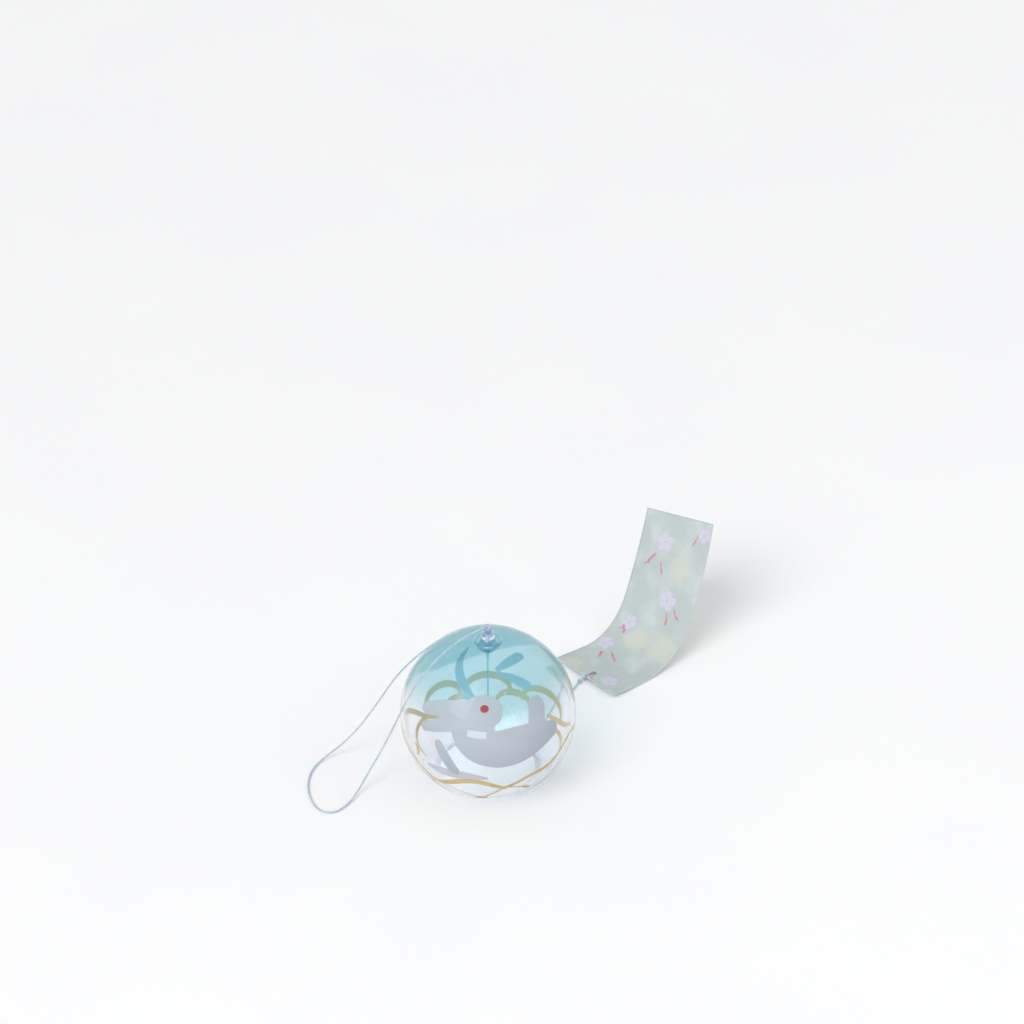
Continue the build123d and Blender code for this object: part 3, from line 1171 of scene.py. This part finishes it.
def makeStrip():
    frames = stripFrames()
    shape = bmesh.new()
    bmesh.ops.create_grid(shape, x_segments=strip["columns"], y_segments=strip["rows"], size=0.5)
    uv = shape.loops.layers.uv.new("UVMap")
    for face in shape.faces:
        for loop in face.loops:
            loop[uv].uv = (loop.vert.co.x + 0.5, loop.vert.co.y + 0.5)
    # the printed side looks up, half the paper's thickness above the middle
    for vertex in shape.verts:
        place, across, up = frames[round((vertex.co.y + 0.5) * strip["rows"])]
        vertex.co = place + across * vertex.co.x * strip["width"] + up * strip["thickness"] / 2
    sheet = newObject("sheet", meshOf(shape, "sheet"), paperFinish(), plainPaperFinish())
    thick = sheet.modifiers.new("thickness", "SOLIDIFY")
    thick.thickness = strip["thickness"]
    thick.offset = -1.0
    thick.material_offset = 1
    thick.material_offset_rim = 1
    # the punched hole
    cutter = bmesh.new()
    bmesh.ops.create_cone(
        cutter,
        cap_ends=True,
        segments=strip["holeSegments"],
        radius1=strip["holeRadius"],
        radius2=strip["holeRadius"],
        depth=strip["punchHeight"],
        matrix=Matrix.Translation(Vector(strip["near"]) + stripDirection() * strip["holeInset"]),
    )
    punch = newObject("punch", meshOf(cutter, "punch", smooth=False))
    hole = sheet.modifiers.new("hole", "BOOLEAN")
    hole.operation = "DIFFERENCE"
    hole.object = punch
    hole.solver = "EXACT"
    piece = newObject("paperStrip", asMesh(sheet, "paperStrip"))
    bpy.data.objects.remove(punch)
    return piece


paperStrip = makeStrip()
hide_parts("paper_strip")
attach(paperStrip, "strip")

# Ring of thread that ties the strip to the tail

tie = {
    "knot": (42.834 * mm, 65.869 * mm, 1.2 * mm),
    "near": 2.0 * mm,
    "far": 8.4 * mm,
    "low": 0.5 * mm,
    "high": 2.75 * mm,
    "bendSteps": 12,
}


def tieLine():
    radius = (tie["high"] - tie["low"]) / 2
    middle = (tie["high"] + tie["low"]) / 2
    line = []
    for heart, start in ((tie["far"] - radius, -90), (tie["near"] + radius, 90)):
        for out, height in arc((heart, middle), radius, start, start + 180, tie["bendSteps"]):
            place = Vector((tie["knot"][0], tie["knot"][1], height))
            line.append(place + stripDirection() * out)
    return line + [line[0]]


stripTie = laidThread("stripTie", tieLine())
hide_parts("strip_tie")
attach(stripTie, "strip")
print("paper strip and tie made")


# Camera at the photograph's angle, with a long lens

photo = {
    "pixelsPerMm": 2.2,
    "axisColumn": 488.0,
    "centreRow": 712.0,
    "size": 1024,
    "elevation": 36.0,
    "distance": 2.6,
    "sensor": 36.0,
    "clipStart": 0.05,
    "clipEnd": 60.0,
}


def makeCamera():
    camera = newObject("camera", bpy.data.cameras.new("camera"))
    bpy.context.scene.camera = camera
    pixelsPerDistance = photo["pixelsPerMm"] / mm * photo["distance"]
    camera.data.sensor_width = photo["sensor"]
    camera.data.lens = photo["sensor"] * pixelsPerDistance / photo["size"]
    camera.data.clip_start = photo["clipStart"]
    camera.data.clip_end = photo["clipEnd"]
    # turned so that the bell's heart falls on its own pixel
    tilt = math.radians(photo["elevation"])
    middle = photo["size"] / 2
    sideways = math.atan((photo["axisColumn"] - middle) / pixelsPerDistance) / math.cos(tilt)
    down = math.atan((photo["centreRow"] - middle) / pixelsPerDistance)
    aim = Matrix.Rotation(sideways, 3, "Z") @ Matrix.Rotation(math.pi / 2 - tilt + down, 3, "X")
    place = bellHeart + Vector((0, -math.cos(tilt), math.sin(tilt))) * photo["distance"]
    camera.matrix_world = Matrix.Translation(place) @ aim.to_4x4()


makeCamera()
print("camera made")


# Floor, light and surroundings

stage = {
    "floorColour": linear(251, 251, 251),
    "floorShade": linear(249, 249, 250),
    "floorSize": 20.0,
    "floorDrop": 0.15 * mm,
    "worldColour": (0.985, 0.992, 1.0, 1.0),
    "worldLight": 0.64,
    # in reflections and through glass
    "worldSeen": 0.9,
    "sunStrength": 1.12,
    "sunSpread": 35.0,
    "sunTurns": (32.0, -28.0, 0.0),
    "lampAim": Vector((0, 0, 0.03)),
    # name, place, size and strength, and whether the glass mirrors it
    "lamps": (
        ("windowLeft", (-0.9, -0.9, 1.0), (0.7, 0.9), 2.2, True),
        ("windowLow", (-0.24, -0.96, 0.13), (0.42, 0.16), 1.1, True),
        ("fill", (1.2, -0.5, 0.7), (0.8, 0.8), 2.4, False),
    ),
    "clearBounces": 32,
    "bounces": 24,
}


def makeFloor():
    shape = bmesh.new()
    bmesh.ops.create_grid(shape, x_segments=1, y_segments=1, size=stage["floorSize"])
    finish = newFinish("floor")
    grain = finish.noise(9.0, 3.0).ramp(0.2, 0.8)
    shader = finish.surface({
        "Base Color": finish.mix(grain, stage["floorShade"], stage["floorColour"]),
        "Roughness": 0.75,
        "Specular IOR Level": 0.2,
    })
    floor = newObject("floor", meshOf(shape, "floor", smooth=False), finish.end(shader))
    floor.location.z = -stage["floorDrop"]


def makeLights():
    finish = Finish(bpy.data.worlds.new("studio"))
    seen = finish.add("ShaderNodeLightPath", output="Is Glossy Ray") + finish.add(
        "ShaderNodeLightPath", output="Is Transmission Ray"
    )
    strength = stage["worldLight"] + (stage["worldSeen"] - stage["worldLight"]) * seen
    background = finish.add(
        "ShaderNodeBackground", {}, {"Color": stage["worldColour"], "Strength": strength}
    )
    bpy.context.scene.world = finish.end(background, "ShaderNodeOutputWorld")
    sun = newObject("keyLight", bpy.data.lights.new("keyLight", "SUN"))
    sun.data.energy = stage["sunStrength"]
    sun.data.angle = math.radians(stage["sunSpread"])
    sun.rotation_euler = [math.radians(turn) for turn in stage["sunTurns"]]
    sun.visible_glossy = False
    for name, place, size, strength, mirrored in stage["lamps"]:
        lamp = newObject(name, bpy.data.lights.new(name, "AREA"))
        lamp.data.shape = "RECTANGLE"
        lamp.data.size, lamp.data.size_y = size
        lamp.data.energy = strength
        lamp.location = place
        lamp.rotation_mode = "QUATERNION"
        lamp.rotation_quaternion = (stage["lampAim"] - Vector(place)).to_track_quat("-Z", "Y")
        lamp.visible_glossy = mirrored


makeFloor()
makeLights()
scene = bpy.context.scene
scene.view_settings.view_transform = "Standard"
scene.cycles.transparent_max_bounces = stage["clearBounces"]
scene.cycles.max_bounces = stage["bounces"]
scene.cycles.transmission_bounces = stage["bounces"]
print("floor and lights made")
